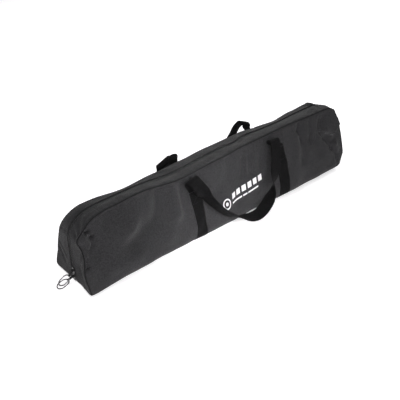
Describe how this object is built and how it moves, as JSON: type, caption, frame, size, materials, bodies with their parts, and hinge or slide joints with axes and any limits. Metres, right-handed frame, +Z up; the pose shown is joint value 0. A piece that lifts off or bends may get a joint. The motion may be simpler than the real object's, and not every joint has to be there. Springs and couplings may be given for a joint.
{
  "type": "soft carry case",
  "caption": "Long soft zipped carry case with leaning sides, rounded top corners, padded lining, webbing straps and two carry handles.",
  "frame": {"origin": "on the underside, midway along the length and the width", "axes": "+X along the case to its right end, -Y its front, +Z up"},
  "size_m": [1.0563, 0.3082, 0.2285],
  "materials": {
    "side_cloth": "matt",
    "gusset_cloth": "matt",
    "zipper_tape": "matt",
    "zipper_coil": "satin",
    "foam": "matt",
    "lining": "matt",
    "webbing": "matt",
    "zipper_metal": "satin black",
    "pull_plastic": "satin",
    "ring_steel": "dull nickel"
  },
  "bodies": {
    "shell": {"front_panel": "side_cloth", "back_panel": "side_cloth", "bottom_panel": "side_cloth", "left_end_front": "gusset_cloth", "left_end_back": "gusset_cloth", "left_tape_front": "zipper_tape", "left_tape_back": "zipper_tape", "left_coil_front": "zipper_coil", "left_coil_back": "zipper_coil", "right_end_front": "gusset_cloth", "right_end_back": "gusset_cloth", "right_tape_front": "zipper_tape", "right_tape_back": "zipper_tape", "right_coil_front": "zipper_coil", "right_coil_back": "zipper_coil", "front_foam": "foam", "back_foam": "foam", "base_foam": "foam", "front_lining": "lining", "back_lining": "lining", "base_lining": "lining", "left_strap_front": "webbing", "left_strap_under": "webbing", "left_strap_back": "webbing", "right_strap_front": "webbing", "right_strap_under": "webbing", "right_strap_back": "webbing", "left_zipper_stop": "zipper_metal", "right_zipper_stop": "zipper_metal"},
    "front_flap": {"top_flap_front": "gusset_cloth", "top_tape_front": "zipper_tape", "top_coil_front": "zipper_coil"},
    "back_flap": {"top_flap_back": "gusset_cloth", "top_tape_back": "zipper_tape", "top_coil_back": "zipper_coil"},
    "lower_slider": {"lower_slider": "zipper_metal"},
    "upper_slider": {"upper_slider": "zipper_metal"},
    "lower_pull": {"lower_pull": "pull_plastic"},
    "upper_pull": {"upper_pull": "pull_plastic"},
    "lower_ring": {"lower_ring": "ring_steel"},
    "upper_ring": {"upper_ring": "ring_steel"},
    "front_handle": {"front_handle": "webbing"},
    "back_handle": {"back_handle": "webbing"}
  },
  "joints": [
    {"name": "front_flap_hinge", "type": "hinge", "parent": "shell", "child": "front_flap", "pos_m": [0, -0.046, 0.2114], "axis": [1, 0, 0], "range_deg": [0, 90]},
    {"name": "back_flap_hinge", "type": "hinge", "parent": "shell", "child": "back_flap", "pos_m": [0, 0.046, 0.2114], "axis": [-1, 0, 0], "range_deg": [0, 90]},
    {"name": "lower_slider_slide", "type": "slide", "parent": "shell", "child": "lower_slider", "axis": [0, 0, 1], "range_m": [0, 0.045]},
    {"name": "upper_slider_slide", "type": "slide", "parent": "lower_slider", "child": "upper_slider", "axis": [0, 0, 1], "range_m": [0, 0.05]},
    {"name": "lower_pull_hinge", "type": "hinge", "parent": "lower_slider", "child": "lower_pull", "pos_m": [-0.5065, 0, 0.017], "axis": [0, 1, 0], "range_deg": [-45, 6]},
    {"name": "upper_pull_hinge", "type": "hinge", "parent": "upper_slider", "child": "upper_pull", "pos_m": [-0.5065, 0, 0.036], "axis": [0, 1, 0], "range_deg": [0, 80]},
    {"name": "lower_ring_hinge", "type": "hinge", "parent": "lower_pull", "child": "lower_ring", "pos_m": [-0.51996, 0, 0.01314], "axis": [0, 1, 0], "range_deg": [-30, 8]},
    {"name": "upper_ring_hinge", "type": "hinge", "parent": "upper_pull", "child": "upper_ring", "pos_m": [-0.5155, 0, 0.02527], "axis": [0, 1, 0], "range_deg": [-5, 40]},
    {"name": "front_handle_hinge", "type": "hinge", "parent": "shell", "child": "front_handle", "pos_m": [0, -0.06199, 0.194], "axis": [-1, 0, 0], "range_deg": [0, 150]},
    {"name": "back_handle_hinge", "type": "hinge", "parent": "shell", "child": "back_handle", "pos_m": [0, 0.06, 0.226], "axis": [1, 0, 0], "range_deg": [0, 150]}
  ]
}
